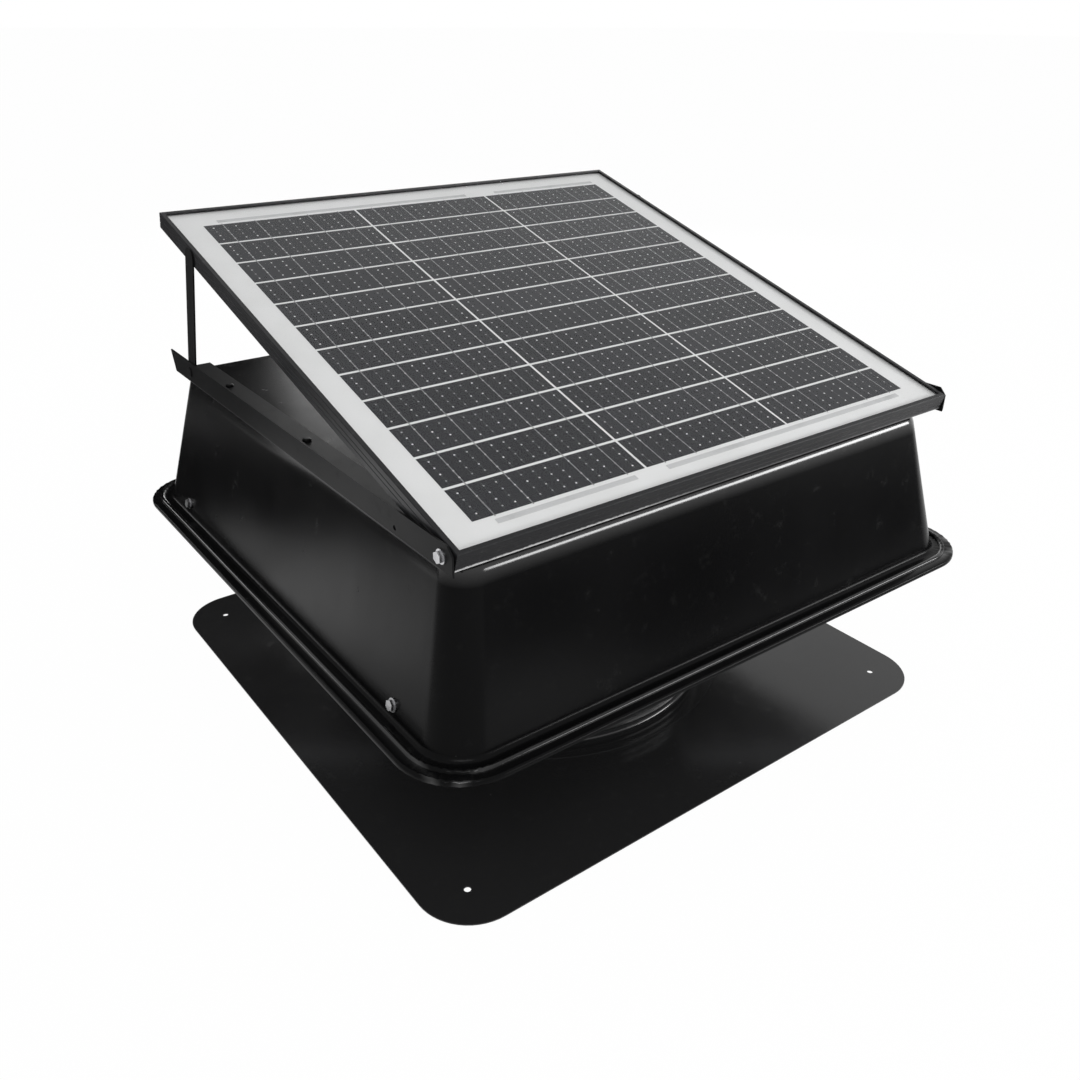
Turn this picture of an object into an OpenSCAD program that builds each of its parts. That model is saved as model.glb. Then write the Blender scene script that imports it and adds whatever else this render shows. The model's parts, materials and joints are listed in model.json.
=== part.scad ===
// Roof exhaust fan with its own solar panel, black painted sheet metal.
// Origin: middle of the underside of the square roof flashing. Z is up.
// The low edge of the tilted panel faces -Y.

/* [Roof flashing and throat] */
// Side of the square flashing plate
flash_w = 600; // [560:5:680]
// Sheet thickness of the flashing plate
flash_t = 1.2; // [0.8:0.1:2]
// Corner radius of the flashing plate
flash_r = 50; // [10:5:80]
// Distance between roof screw holes along one side
roof_hole_pitch = 520; // [480:5:530]
// Diameter of the roof screw holes
roof_hole_d = 6; // [4:0.5:9]
// Inner diameter of the round throat
throat_d = 361.6; // [355:0.2:372]
// Sheet thickness of the throat
throat_t = 1.2; // [0.8:0.1:2]
// Height of the throat above the roof
throat_h = 190; // [180:1:200]
// Width of the throat's foot flange on the plate
foot_w = 18; // [12:1:24]
// Number of stiffening beads rolled into the throat's foot
bead_count = 4; // [2:1:5]
// Height of the lowest bead
bead_z = 12; // [10:1:20]
// Distance between beads
bead_pitch = 9; // [8:1:14]
// Radius of a rolled bead
bead_r = 2.4; // [1.5:0.1:3]

/* [Hood] */
// Height of the rim above the roof
rim_z = 161; // [150:1:172]
// Width of the rim outside the foot of the walls
rim_band_w = 21.9; // [20:0.1:26]
// Overhang of the rails past the edge of the hood's top
rail_over = 8.8; // [6:0.1:11]
// Height of the hood's flat top above the roof
hood_z = 301.5; // [285:0.5:330]
// Inward lean of the hood walls, in degrees
wall_lean = 12.2; // [9:0.1:14]
// Sheet thickness of the hood
hood_t = 1.2; // [0.8:0.1:1.6]
// Radius where the walls turn into the top
shoulder_r = 14; // [10:1:16]
// Radius of the pressed corners at the rim
rim_corner_r = 70; // [66:1:80]
// Distance of the pressed ridge inside the rim's outer edge
ridge_in = 10.8; // [9:0.1:13]
// Radius of the ridge pressed into the rim
ridge_r = 2.6; // [1.5:0.1:3.5]
// Distance of the hood screws from the middle
hood_screw_y = 215; // [180:1:235]
// Height of the hood screws above the rim
hood_screw_up = 11.5; // [11:0.5:15]
// Diameter of the cable grommet's bore
grommet_d = 8; // [5:0.5:10]
// Distance of the grommet behind the middle
grommet_y = 120; // [60:5:160]

/* [Panel] */
// Depth of the panel frame
frame_h = 15; // [13:0.5:20]
// Wall of the frame's extrusion
frame_t = 1.5; // [1.2:0.1:2.2]
// Width of the lip that laps over the glass
lip_w = 4.5; // [3:0.5:7]
// Thickness of the lip and of the ledge under the glass
lip_t = 1.2; // [1:0.1:1.6]
// Width of the frame's lower flange
lower_flange_w = 14; // [10:1:22]
// Tilt of the panel as set up, in degrees
tilt = 15.5; // [10:0.5:18]
// Glass thickness
glass_t = 2; // [1.6:0.1:3.2]
// Thickness of the cell layer
cell_t = 0.25; // [0.2:0.05:0.4]
// Thickness of the backing sheet
backing_t = 0.75; // [0.4:0.05:1]
// Width of one cell
cell_w = 158; // [150:0.5:158.5]
// Length of one cell along the slope
cell_l = 37; // [34:0.5:37.5]
// Gap between columns of cells
column_gap = 2.33; // [1:0.01:3]
// Gap between rows of cells
row_gap = 2.68; // [1:0.01:3]
// Columns of cells
columns = 3; // [2:1:3]
// Rows of cells
rows = 12; // [8:1:12]
// Distance from the frame's front face to the first row of cells
front_margin = 28.4; // [22:0.1:34]
// Distance from the last row of cells to the frame's rear face
rear_margin = 31.1; // [22:0.1:40]
// Distance from the cells to the frame's outer face at each side
side_margin = 30.2; // [12:0.1:40]
// Distance of the junction box behind the frame's front face
box_along = 384; // [120:1:440]
// Width of the junction box
box_w = 92; // [80:1:110]
// Length of the junction box
box_l = 70; // [60:1:90]
// Depth of the junction box with its lid
box_h = 13; // [10:0.5:14]

/* [Tilting mount] */
// Thickness of the side rails
rail_t = 1.5; // [1.2:0.1:2.5]
// Height of a rail's upright web
rail_h = 22.5; // [21:0.5:27]
// Width of a rail's foot on the hood
rail_foot_w = 38; // [36:1:42]
// Distance of the outer rail screws from the middle
rail_screw_y = 175; // [120:5:190]
// Length of the rails in front of the panel's pivot
rail_nose = 13; // [10:0.5:20]
// Length of the rails behind the strut's pivot
rail_tail = 52; // [20:1:60]
// Distance of the panel's pivot behind the front edge of the hood's top
pivot_back = 2.05; // [0:0.05:8]
// Height of both pivots above the hood's top
pivot_up = 12; // [11:0.5:13]
// Pivot's set-back from the frame's front face
pivot_in = 12.5; // [10:0.5:20]
// Diameter of the pivot bolts
bolt_d = 5; // [4:0.5:5]
// Distance between the panel's pivot and the strut's, along the rail
strut_run = 470; // [450:1:485]
// Distance from the panel's pivot to the strut's upper hole, along the panel
strut_top = 444; // [430:1:455]
// Width of the flat strut
strut_w = 18; // [14:0.2:20]
// Thickness of the flat strut
strut_t = 1.4; // [1:0.1:2]
// Diameter of the strut's pins
pin_d = 5; // [4:0.5:6]
// Side play left on each face of the strut
side_play = 0.2; // [0.15:0.05:0.4]

/* [Fan and motor] */
// Diameter over the blade tips
fan_d = 344; // [320:1:350]
// Number of blades
blades = 5; // [5:1:5]
// Chord of a blade at its root
root_chord = 74; // [60:1:90]
// Chord of a blade near its tip
tip_chord = 118; // [90:1:125]
// Pitch of the blades, in degrees
pitch = 28; // [20:1:32]
// Rolling radius of the blade sheet
blade_curve = 150; // [120:5:220]
// Thickness of the blade sheet
blade_t = 1.2; // [1:0.1:2]
// Height of the fan's middle plane
fan_z = 112; // [105:1:116]
// Diameter of the motor shaft
shaft_d = 8; // [6:1:10]
// Diameter of the motor housing
motor_d = 94; // [88:1:104]
// Height of the motor housing
motor_h = 42; // [38:1:50]
// Height of the motor bracket's plate
bracket_z = 158; // [154:1:164]
// Sheet thickness of the motor bracket
bracket_t = 2; // [1.5:0.1:3]
// Width of a bracket arm
bracket_arm_w = 26; // [20:1:34]
// Height of the perforated screen above the throat
screen_h = 98; // [80:1:104]
// Number of windows round the screen
screen_windows = 24; // [18:1:30]

/* [Hidden] */

// Segments of a full turn, and steps of a short rolled arc
round_fn = 96;
small_fn = 32;
arc_steps = 6;
// Clearance of a screw, bolt or pin in its hole, on the radius
fit = 0.05;
// Small overshoot for clean cuts
eps = 0.5;

// Throat
throat_r = throat_d / 2;
throat_out_r = throat_r + throat_t;
foot_bend_r = 4;
top_curl_r = 3;

// Panel and mount, left to right
cells_w = columns * cell_w + (columns - 1) * column_gap;
cells_l = rows * cell_l + (rows - 1) * row_gap;
panel_w = cells_w + 2 * side_margin;
panel_l = front_margin + cells_l + rear_margin;
panel_half = panel_w / 2;
strut_in = panel_half + side_play;
strut_out = strut_in + strut_t;
rail_in = strut_out + side_play;
rail_out = rail_in + rail_t;

// Hood: its top carries the rails
top_half = rail_out - rail_over;
wall_foot = top_half + (hood_z - rim_z) * tan(wall_lean);
rim_w = 2 * (wall_foot + rim_band_w);
hood_axis = rim_w / 2 - rim_corner_r;
wall_foot_r = 5;
hem_r = 2.4;
hem_skirt = 1.6;
hood_in_z = hood_z - hood_t;
// Half width of the walls' outer face at a height
function wall_half(z) = wall_foot - (z - rim_z) * tan(wall_lean);
hood_screw_z = rim_z + hood_screw_up;
hood_screw_d = 4;
screw_x = wall_half(hood_screw_z);
grommet_groove_d = grommet_d + 8;

// Pivots and rails
pivot_y = top_half - pivot_back;
pivot_z = hood_z + pivot_up;
strut_y = strut_run - pivot_y;
rail_front = pivot_y + rail_nose;
rail_rear = strut_y + rail_tail;
rail_bend_r = 1;
rail_cut = 20;
rail_nose_cut = 9;
spare_hole_back = 63;
spare_hole_up = 7;
spare_hole_d = 4;
rail_screw_d = 4.2;
rail_screw_in = 12;
rail_screw_x = rail_out - rail_foot_w + rail_screw_in;
rail_foot_front = top_half - shoulder_r;
rail_screw_head_h = 2.4;
nut_h = 4;
pin_head_r = 5;
pin_head_h = 1.6;
washer_rim = 3;

// Panel section, heights above the frame's underside
glass_top = frame_h - lip_t;
glass_low = glass_top - glass_t;
cell_low = glass_low - cell_t;
backing_low = cell_low - backing_t;
ledge_w = lip_w + 4;
ledge_low = backing_low - lip_t;
glass_play = 0.3;
ribbon_w = 5;
ribbon_t = 0.2;
// Pivot's height above the frame's underside, midway between its lower flange and its ledge
pivot_h = (frame_t + ledge_low) / 2;
nut_across = ledge_low - frame_t - 0.3;
key_t = 1.5;
key_leg = 28;
key_h = ledge_low - frame_t - 0.4;
box_wall = 2;
box_lid_t = 2.4;
box_corner_r = 6;
gland_hole_d = 6;
lead_bore_d = 4;

// Face of the pivot nuts, against the corner key
nut_face = panel_half - frame_t - key_t - 2 * fit;

// Strut: its upper hole lies on the line through the pivot along the panel
upper_y = -pivot_y + strut_top * cos(tilt);
upper_z = pivot_z + strut_top * sin(tilt);
strut_l = norm([strut_y - upper_y, upper_z - pivot_z]);
strut_lean = atan2(strut_y - upper_y, upper_z - pivot_z);

// Fan and motor
fan_r = fan_d / 2;
shaft_r = shaft_d / 2;
blade_root_r = 46;
// Half height of the cylinder that trims the blades' tips
blade_room = 60;
hub_r = 19;
hub_h = 30;
hub_z = fan_z - 12;
spider_t = 2;
spider_r = 40;
spider_z = fan_z + 2;
spider_arm_w = 26;
spider_arm_end = 108;
// Depth of the blade's hollow across a spider arm: the blade rests on the arm's two edges
blade_crown = blade_curve - sqrt(blade_curve * blade_curve - spider_arm_w * spider_arm_w / 4);
rivet_d = 5;
rivet_at = [62, 92];
motor_z = bracket_z + bracket_t;
motor_wall = 2.5;
bearing_d = 22;
bearing_w = 7;
motor_screw_d = 4;
motor_screw_ring = motor_d / 2 - 12;
stator_d = motor_d - 2 * motor_wall - 0.2;
stator_bore = 50;
stator_z = motor_z + 12;
stator_h = 20;
rotor_d = stator_bore - 1.4;
motor_top = motor_z + motor_h;
cap_h = 6;
cap_seat_z = motor_top - 1;
bracket_tab_h = 18;
bracket_rib_h = 9;
bracket_screw_z = bracket_z + 10;
arm_z = rim_z + 2.2;
arm_t = 2.2;
arm_tab_h = 20;
arm_tab_w = 30;
arm_end_w = 24;
arm_screw_z = arm_z + 12;
screw_shank_r = 2;
screw_tail = 4;
// Hexagon heads: width across the flats, height, radius and thickness of the flange
hex_across = 8;
hex_head_h = 4;
hex_flange_r = 5.6;
small_hex_across = 7;
small_hex_head_h = 3.4;
small_hex_flange_r = 5;
hex_flange_t = 1.1;
screen_t = 1;
screen_low = throat_h - 10;
screen_top = throat_h + screen_h;
window_share = 0.78;
window_sill = 4;
screen_lip_w = 14;

function unit(v) = v / norm(v);
function reversed(list) = [for (i = [len(list) - 1 : -1 : 0]) list[i]];
function arc(c, r, from, to, steps = arc_steps) =
    [for (i = [0 : steps]) let (a = from + (to - from) * i / steps) c + r * [cos(a), sin(a)]];

// Direction to the right of a path's segment i
function right_of(path, i) =
    let (k = max(0, min(i, len(path) - 2)), d = unit(path[k + 1] - path[k])) [d[1], -d[0]];
// The path moved to its right by t, with mitred corners
function beside(path, t) =
    [for (i = [0 : len(path) - 1])
        let (a = right_of(path, i - 1), b = right_of(path, i)) path[i] + t * (a + b) / (1 + a * b)];
// Outline of a bent sheet of thickness t that lies to the right of a path
function sheet(path, t) = concat(path, reversed(beside(path, t)));

// A polygon with its corners rounded to the radii given
function fillet(points, radii, steps = 5) =
    [for (i = [0 : len(points) - 1])
        let (n = len(points), b = points[i], r = radii[i],
             u = unit(points[(i + n - 1) % n] - b), v = unit(points[(i + 1) % n] - b),
             half = acos(u * v) / 2, c = b + unit(u + v) * r / sin(half),
             p = b + u * r / tan(half) - c, q = b + v * r / tan(half) - c,
             from = atan2(p[1], p[0]), turn = atan2(q[1], q[0]) - from,
             sweep = turn > 180 ? turn - 360 : (turn < -180 ? turn + 360 : turn))
        for (k = [0 : steps]) c + r * [cos(from + sweep * k / steps), sin(from + sweep * k / steps)]];

module rounded_square(w, r) {
    square([w, w - 2 * r], center = true);
    square([w - 2 * r, w], center = true);
    for (x = [-1, 1], y = [-1, 1])
        translate([x * (w / 2 - r), y * (w / 2 - r)]) circle(r, $fn = round_fn);
}

module on_four_sides() {
    for (k = [0 : 3]) rotate(90 * k) children();
}

module both_sides() {
    children();
    mirror([1, 0, 0]) children();
}

// Lays a child on the panel: origin on the pivot line, Y up the slope, Z off the glass
module panel_place() {
    translate([0, -pivot_y, pivot_z]) rotate([tilt, 0, 0]) children();
}

// As panel_place, with Y from the frame's front face and Z from its underside
module frame_place() {
    panel_place() translate([0, -pivot_in, -pivot_h]) children();
}

// Points a child's Z along +X
module along_x() {
    rotate([0, 90, 0]) children();
}

// Screw with a flanged hexagon head: the shank runs down from z = 0
module hex_screw(shank, reach, across = hex_across, head = hex_head_h, flange = hex_flange_r) {
    cylinder(r = flange, h = hex_flange_t, $fn = small_fn);
    cylinder(d = across / cos(30), h = head, $fn = 6);
    translate([0, 0, -reach]) cylinder(r = shank, h = reach + eps, $fn = small_fn);
}

module small_hex_screw(reach) {
    hex_screw(screw_shank_r, reach, small_hex_across, small_hex_head_h, small_hex_flange_r);
}

// Screw with a low round head: the shank runs down from z = 0
module pan_screw(shank, reach, head_r = 4, head = 2.4) {
    rotate_extrude($fn = small_fn)
        polygon(concat([[0, -reach], [shank, -reach], [shank, 0], [head_r, 0]],
                       arc([head_r - head * 0.8, head * 0.2], head * 0.8, 0, 90, 4), [[0, head]]));
}

// Roof flashing and throat

module flashing_plate() {
    color([0.09, 0.09, 0.1])
    linear_extrude(flash_t) difference() {
        rounded_square(flash_w, flash_r);
        circle(throat_r + foot_bend_r, $fn = round_fn);
        for (x = [-1, 1], y = [-1, 1])
            translate([x, y] * roof_hole_pitch / 2) circle(d = roof_hole_d, $fn = small_fn);
    }
}

// Inner face of the throat, from the edge of its foot up to the curled top
function throat_path() = concat(
    [[throat_r + foot_bend_r + foot_w, flash_t]],
    arc([throat_r + foot_bend_r, flash_t + foot_bend_r], foot_bend_r, 270, 180),
    [for (i = [0 : bead_count - 1])
        for (p = arc([throat_r, bead_z + i * bead_pitch], bead_r, -90, 90)) p],
    arc([throat_r + top_curl_r, throat_h - top_curl_r], top_curl_r, 180, 90),
    [[throat_r + top_curl_r + 2, throat_h]]);

module throat_collar() {
    color([0.08, 0.08, 0.09])
    difference() {
        rotate_extrude($fn = round_fn) polygon(sheet(throat_path(), throat_t));
        each_arm() rotate(arm_angle()) throat_hole(arm_screw_z);
        on_four_sides() throat_hole(bracket_screw_z);
    }
}

module throat_hole(z) {
    translate([throat_r - eps, 0, z]) along_x()
        cylinder(r = screw_shank_r + fit, h = throat_t + 2 * eps, $fn = small_fn);
}

// Slotted screen that keeps birds and leaves out above the throat
module guard_screen() {
    pitch_a = 360 / screen_windows;
    window_w = 2 * throat_r * sin(pitch_a * window_share / 2);
    color([0.2, 0.2, 0.21])
    difference() {
        rotate_extrude($fn = round_fn)
            polygon([[throat_r - fit, screen_low], [throat_r - fit, screen_top],
                     [throat_r - screen_lip_w, screen_top], [throat_r - screen_lip_w, screen_top - screen_t],
                     [throat_r - fit - screen_t, screen_top - screen_t],
                     [throat_r - fit - screen_t, screen_low]]);
        for (i = [0 : screen_windows - 1])
            rotate(i * pitch_a + pitch_a / 2)
            translate([throat_r - 3 * screen_t, -window_w / 2, throat_h + window_sill])
            cube([6 * screen_t, window_w, screen_h - 2 * window_sill]);
    }
}

// Motor and its bracket

module motor_bracket() {
    reach = throat_r - fit;
    rib = reach - motor_d / 2 - 5;
    color([0.55, 0.56, 0.58])
    difference() {
        union() {
            translate([0, 0, bracket_z]) cylinder(r = motor_d / 2 + 5, h = bracket_t, $fn = round_fn);
            on_four_sides() {
                translate([20, -bracket_arm_w / 2, bracket_z])
                    cube([reach - 21, bracket_arm_w, bracket_t]);
                for (y = [-1, 1])
                    translate([motor_d / 2 + 3, y * (bracket_arm_w - bracket_t) / 2 - bracket_t / 2,
                               bracket_z])
                    rotate([90, 0, 0]) translate([0, 0, -bracket_t]) linear_extrude(bracket_t)
                    polygon([[0, 0], [rib, 0], [rib, bracket_rib_h], [18, bracket_rib_h], [0, bracket_t]]);
                rotate(-4.2) rotate_extrude(angle = 8.4, $fn = round_fn)
                    translate([reach - bracket_t, bracket_z]) square([bracket_t, bracket_tab_h]);
            }
        }
        translate([0, 0, bracket_z - eps])
            cylinder(r = bearing_d / 2 - 2, h = 3 * bracket_t, $fn = small_fn);
        on_four_sides() {
            translate([reach - 2 * bracket_t, 0, bracket_screw_z]) along_x()
                cylinder(r = screw_shank_r + fit, h = 3 * bracket_t, $fn = small_fn);
            rotate(45) translate([motor_screw_ring, 0, bracket_z - eps])
                cylinder(d = motor_screw_d + 2 * fit, h = 3 * bracket_t, $fn = small_fn);
        }
    }
}

module bracket_screws() {
    color([0.75, 0.75, 0.77])
    on_four_sides()
        translate([throat_out_r + fit, 0, bracket_screw_z]) along_x()
        small_hex_screw(throat_t + bracket_t + screw_tail);
}

module motor_housing() {
    color([0.14, 0.14, 0.15])
    difference() {
        rotate_extrude($fn = round_fn) {
            polygon(concat(
                [[shaft_r + 2, motor_z], [motor_d / 2 - 3, motor_z]],
                arc([motor_d / 2 - 3, motor_z + 3], 3, 270, 360, 4),
                [[motor_d / 2, cap_seat_z], [motor_d / 2 - motor_wall, cap_seat_z],
                 [motor_d / 2 - motor_wall, motor_z + 3], [bearing_d / 2 + 3, motor_z + 3],
                 [bearing_d / 2 + 3, motor_z + 2 + bearing_w], [bearing_d / 2, motor_z + 2 + bearing_w],
                 [bearing_d / 2, motor_z + 2], [shaft_r + 2, motor_z + 2]]));
        }
        on_four_sides() rotate(45) translate([motor_screw_ring, 0, motor_z - eps])
            cylinder(d = motor_screw_d + 2 * fit, h = 4, $fn = small_fn);
    }
    // Cooling ribs round the can
    color([0.14, 0.14, 0.15])
    for (i = [0 : 23]) rotate(i * 15)
        translate([motor_d / 2 - 0.8, -1, motor_z + 5]) cube([3.4, 2, motor_h - 12]);
}

module motor_end_cap() {
    color([0.14, 0.14, 0.15])
    difference() {
        rotate_extrude($fn = round_fn)
            polygon(concat(
                [[0, motor_top + cap_h - 3], [0, motor_top + cap_h]],
                arc([motor_d / 2 - 4, motor_top + cap_h - 4], 4, 90, 0, 4),
                [[motor_d / 2, cap_seat_z], [motor_d / 2 - motor_wall - 2, cap_seat_z],
                 [motor_d / 2 - motor_wall - 2, motor_top + 3], [bearing_d / 2 + 3, motor_top + 3],
                 [bearing_d / 2 + 3, motor_top - 4], [bearing_d / 2, motor_top - 4],
                 [bearing_d / 2, motor_top + cap_h - 3]]));
        for (i = [0 : 11]) rotate(i * 30 + 15)
            translate([20, -1.5, motor_top + 1]) cube([14, 3, cap_h + 2]);
    }
}

module motor_screws() {
    color([0.75, 0.75, 0.77])
    on_four_sides() rotate(45)
        translate([motor_screw_ring, 0, bracket_z]) mirror([0, 0, 1])
        pan_screw(motor_screw_d / 2, bracket_t + 3, 3.8, 2.2);
}

module stator_core() {
    teeth = 9;
    color([0.35, 0.35, 0.37])
    translate([0, 0, stator_z]) linear_extrude(stator_h) {
        difference() {
            circle(d = stator_d, $fn = round_fn);
            circle(d = stator_d - 12, $fn = round_fn);
        }
        difference() {
            for (i = [0 : teeth - 1]) rotate(i * 360 / teeth) {
                translate([stator_bore / 2 - 1, -3]) square([stator_d / 2 - stator_bore / 2 - 3, 6]);
                translate([stator_bore / 2 - 1, -7]) square([3.5, 14]);
            }
            circle(d = stator_bore, $fn = round_fn);
        }
    }
}

module bearing(z) {
    color([0.7, 0.71, 0.73])
    translate([0, 0, z]) difference() {
        cylinder(d = bearing_d - 2 * fit, h = bearing_w - fit, $fn = round_fn);
        translate([0, 0, -eps]) cylinder(r = shaft_r + fit, h = bearing_w + 2 * eps, $fn = round_fn);
        for (face = [-eps, bearing_w - 0.6]) translate([0, 0, face]) difference() {
            cylinder(r = bearing_d / 2 - 2.4, h = 0.6 + eps, $fn = round_fn);
            translate([0, 0, -eps]) cylinder(r = shaft_r + 2.4, h = 3, $fn = round_fn);
        }
    }
}

module bearing_lower() {
    bearing(motor_z + 2);
}

module bearing_upper() {
    bearing(motor_top + cap_h - 3 - bearing_w);
}

// Hood

// Outer face of the hood in section, measured out from the axis of its corners
function hood_path() = let (
        shoulder = [wall_half(hood_z - shoulder_r) - shoulder_r / cos(wall_lean) - hood_axis,
                    hood_z - shoulder_r],
        foot_z = rim_z + wall_foot_r,
        foot = [wall_half(foot_z) + wall_foot_r / cos(wall_lean) - hood_axis, foot_z],
        ridge = [rim_w / 2 - ridge_in - hood_axis, rim_z],
        hem = [rim_w / 2 - hem_r - hood_axis, rim_z - hem_r])
    concat([[0, hood_z]],
        arc(shoulder, shoulder_r, 90, wall_lean),
        arc(foot, wall_foot_r, 180 + wall_lean, 270, 4),
        arc(ridge, ridge_r, 180, 0),
        arc(hem, hem_r, 90, 0, 4),
        [[hem[0] + hem_r, hem[1] - hem_skirt]]);

module hood_shell() {
    outline = sheet(hood_path(), hood_t);
    color([0.07, 0.07, 0.08])
    difference() {
        union() {
            on_four_sides() {
                translate([hood_axis, hood_axis, 0]) rotate([90, 0, 0])
                    linear_extrude(2 * hood_axis) polygon(outline);
                translate([hood_axis, hood_axis, 0])
                    rotate_extrude(angle = 90, $fn = round_fn) polygon(outline);
            }
            translate([-hood_axis, -hood_axis, hood_in_z])
                cube([2 * hood_axis, 2 * hood_axis, hood_t]);
        }
        each_arm() wall_screw_place()
            translate([0, 0, -3 * hood_t])
            cylinder(r = hood_screw_d / 2 + fit, h = 5 * hood_t, $fn = small_fn);
        both_sides() rail_screw_places()
            translate([0, 0, -4 * hood_t])
            cylinder(d = rail_screw_d + 2 * fit, h = 6 * hood_t, $fn = small_fn);
        translate([0, grommet_y, hood_in_z - eps])
            cylinder(d = grommet_groove_d + 2 * fit, h = hood_t + 2 * eps, $fn = small_fn);
    }
}

// Angle of a hood arm, seen from the throat's axis
function arm_angle() = atan2(hood_screw_y, screw_x);

// One child at each of the four hood arms, built at front right of +X +Y
module each_arm() {
    children();
    mirror([1, 0, 0]) children();
    mirror([0, 1, 0]) children();
    mirror([1, 0, 0]) mirror([0, 1, 0]) children();
}

// Origin on the wall's outer face at a hood screw, Z straight out of the wall
module wall_screw_place() {
    translate([screw_x, hood_screw_y, hood_screw_z]) rotate([0, 90 - wall_lean, 0]) children();
}

// Strap from the throat to the hood wall, with a bent tab at each end
module hood_arm() {
    turn = arm_angle();
    inward = [cos(turn), sin(turn)];
    across = [-sin(turn), cos(turn)];
    near = (throat_out_r + 1) * inward;
    wall_x = wall_half(arm_z) - hood_t / cos(wall_lean) - 1;
    difference() {
        union() {
            translate([0, 0, arm_z]) linear_extrude(arm_t)
                polygon([near + across * arm_end_w / 2, near - across * arm_end_w / 2,
                         [wall_x, hood_screw_y - arm_tab_w / 2], [wall_x, hood_screw_y + arm_tab_w / 2]]);
            // Tab on the hood wall
            wall_screw_place() translate([0, 0, -hood_t - arm_t - fit])
                linear_extrude(arm_t)
                polygon(fillet([[hood_screw_z - arm_z, -arm_tab_w / 2], [hood_screw_z - arm_z, arm_tab_w / 2],
                                [hood_screw_z - arm_z - arm_tab_h, arm_tab_w / 2],
                                [hood_screw_z - arm_z - arm_tab_h, -arm_tab_w / 2]],
                               [0.5, 0.5, 6, 6]));
            // Tab on the throat
            rotate(turn - 3.6) rotate_extrude(angle = 7.2, $fn = round_fn)
                translate([throat_out_r + fit, arm_z]) square([arm_t, arm_tab_h]);
        }
        wall_screw_place() translate([0, 0, -12])
            cylinder(r = hood_screw_d / 2 + fit, h = 16, $fn = small_fn);
        rotate(turn) translate([throat_r, 0, arm_screw_z]) along_x()
            cylinder(r = screw_shank_r + fit, h = 12, $fn = small_fn);
    }
}

module hood_arm_front_left() {
    color([0.5, 0.51, 0.53]) mirror([1, 0, 0]) mirror([0, 1, 0]) hood_arm();
}

module hood_arm_front_right() {
    color([0.5, 0.51, 0.53]) mirror([0, 1, 0]) hood_arm();
}

module hood_arm_rear_left() {
    color([0.5, 0.51, 0.53]) mirror([1, 0, 0]) hood_arm();
}

module hood_arm_rear_right() {
    color([0.5, 0.51, 0.53]) hood_arm();
}

module arm_screws() {
    color([0.75, 0.75, 0.77])
    each_arm() rotate(arm_angle()) translate([throat_out_r + arm_t + 2 * fit, 0, arm_screw_z]) along_x()
        small_hex_screw(arm_t + throat_t + screw_tail);
}

module hood_screws() {
    color([0.82, 0.82, 0.84])
    each_arm() wall_screw_place() translate([0, 0, fit])
        hex_screw(hood_screw_d / 2, hood_t + arm_t + screw_tail);
}

// Rails and tilting mount

// Angle rail, right-hand side: foot on the hood's top, web upright outside the panel
module rail() {
    bend = rail_bend_r + rail_t;
    section = sheet(concat([[rail_out - rail_foot_w, hood_z]],
                           arc([rail_out - bend, hood_z + bend], bend, 270, 360, 5),
                           [[rail_out, hood_z + rail_h]]), -rail_t);
    difference() {
        translate([0, rail_rear, 0]) rotate([90, 0, 0])
            linear_extrude(rail_rear + rail_front) polygon(section);
        // Slanted rear end of the web
        translate([rail_in - eps, rail_rear, hood_z + rail_h]) rotate([-rail_cut, 0, 0])
            translate([0, 0, -2 * rail_h]) cube([rail_t + 2 * eps, rail_h, 2 * rail_h]);
        // Chamfered front end of the web
        translate([rail_in - eps, -rail_front, hood_z + rail_h]) rotate([45, 0, 0])
            translate([0, -rail_nose_cut / 2, -rail_nose_cut / 2])
            cube([rail_t + 2 * eps, rail_nose_cut, rail_nose_cut]);
        // The foot ends where the hood's top starts to fall
        translate([rail_out - rail_foot_w - eps, -rail_front - eps, hood_z - eps])
            cube([rail_foot_w - rail_t + eps, rail_front - rail_foot_front + eps, bend + 2 * eps]);
        rail_hole(-pivot_y, pivot_z, bolt_d);
        rail_hole(strut_y, pivot_z, pin_d);
        rail_hole(spare_hole_back - pivot_y, hood_z + spare_hole_up, spare_hole_d);
        rail_screw_places()
            translate([0, 0, -eps])
            cylinder(d = rail_screw_d + 2 * fit, h = rail_t + 2 * eps, $fn = small_fn);
    }
}

module rail_hole(y, z, d) {
    translate([rail_in - eps, y, z]) along_x()
        cylinder(d = d + 2 * fit, h = rail_t + 2 * eps, $fn = small_fn);
}

module rail_screw_places() {
    for (y = [-rail_screw_y, 0, rail_screw_y])
        translate([rail_screw_x, y, hood_z]) children();
}

module rail_right() {
    color([0.12, 0.12, 0.13]) rail();
}

module rail_left() {
    color([0.12, 0.12, 0.13]) mirror([1, 0, 0]) rail();
}

module rail_screws() {
    color([0.75, 0.75, 0.77])
    both_sides() rail_screw_places() translate([0, 0, rail_t])
        pan_screw(rail_screw_d / 2, rail_t + hood_t + 6, 4, rail_screw_head_h);
}

module cable_grommet() {
    rim = grommet_groove_d / 2 + 2.5;
    color([0.05, 0.05, 0.05])
    translate([0, grommet_y, 0]) rotate_extrude($fn = small_fn)
        polygon([[grommet_d / 2, hood_in_z - 3], [rim, hood_in_z - 3], [rim, hood_in_z],
                 [grommet_groove_d / 2, hood_in_z], [grommet_groove_d / 2, hood_z],
                 [rim, hood_z], [rim - 1, hood_z + 2.6], [grommet_d / 2 + 1, hood_z + 2.6],
                 [grommet_d / 2, hood_z + 1.6]]);
}

// Pivot bolts, nuts and washers: the frame turns on the bolts' shanks
module pivot_bolts() {
    color([0.82, 0.82, 0.84])
    both_sides() translate([rail_out, -pivot_y, pivot_z]) along_x()
        hex_screw(bolt_d / 2, rail_out - nut_face + nut_h + 2);
}

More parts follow.
